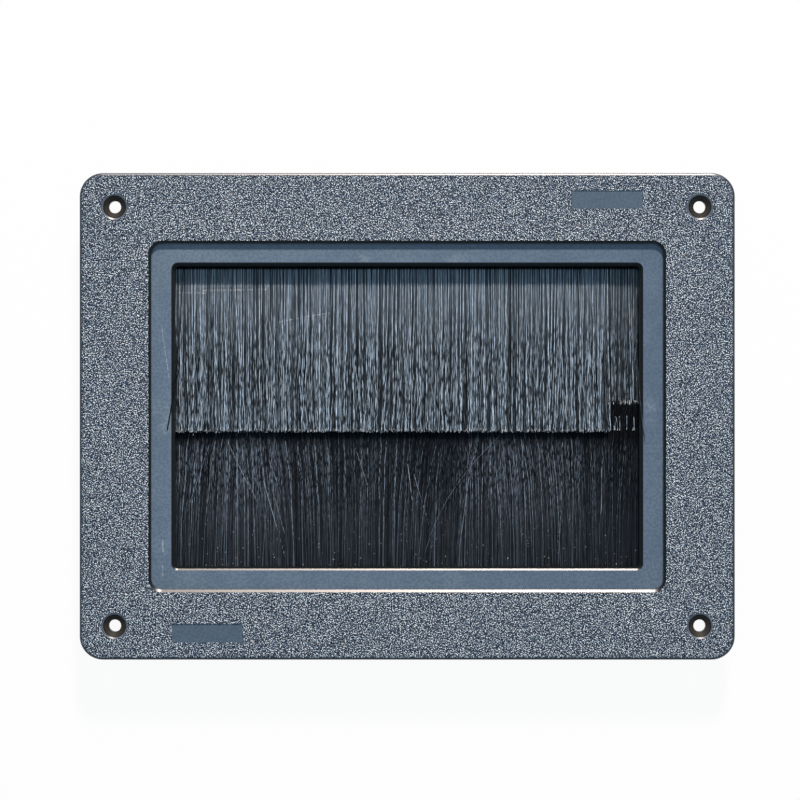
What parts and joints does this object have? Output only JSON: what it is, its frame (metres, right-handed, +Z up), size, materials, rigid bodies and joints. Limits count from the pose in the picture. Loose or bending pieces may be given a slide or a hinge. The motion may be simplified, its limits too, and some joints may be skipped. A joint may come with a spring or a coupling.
{
  "type": "raised floor cable outlet with brush seal",
  "caption": "Flat rectangular floor frame with a sunk ledge and a wide cable opening, closed by two strip brushes whose dark bristles overlap along the middle.",
  "frame": {"origin": "centre of the four floor-screw holes, on the flange's underside, the plane that lies on the floor", "axes": "+X along the long side, +Z up out of the floor, +Y towards the upper brush"},
  "size_m": [0.28, 0.208, 0.025],
  "materials": {
    "frame_plastic": "dark slate moulded plastic, fine spark-eroded grain on the face, smooth satin ledge",
    "retaining_plastic": "black moulded plastic, plain satin",
    "screw_steel": "zinc-plated steel",
    "channel_steel": "galvanised sheet steel",
    "wire_steel": "drawn steel wire",
    "bristle_nylon": "black nylon filaments with a dull sheen"
  },
  "bodies": {
    "root": {"face_frame": "frame_plastic", "retaining_frame": "retaining_plastic", "retaining_screws": "screw_steel", "upper_brush_channel": "channel_steel", "lower_brush_channel": "channel_steel", "upper_brush_core_wire": "wire_steel", "lower_brush_core_wire": "wire_steel", "upper_brush_bristles": "bristle_nylon", "lower_brush_bristles": "bristle_nylon"}
  },
  "joints": []
}
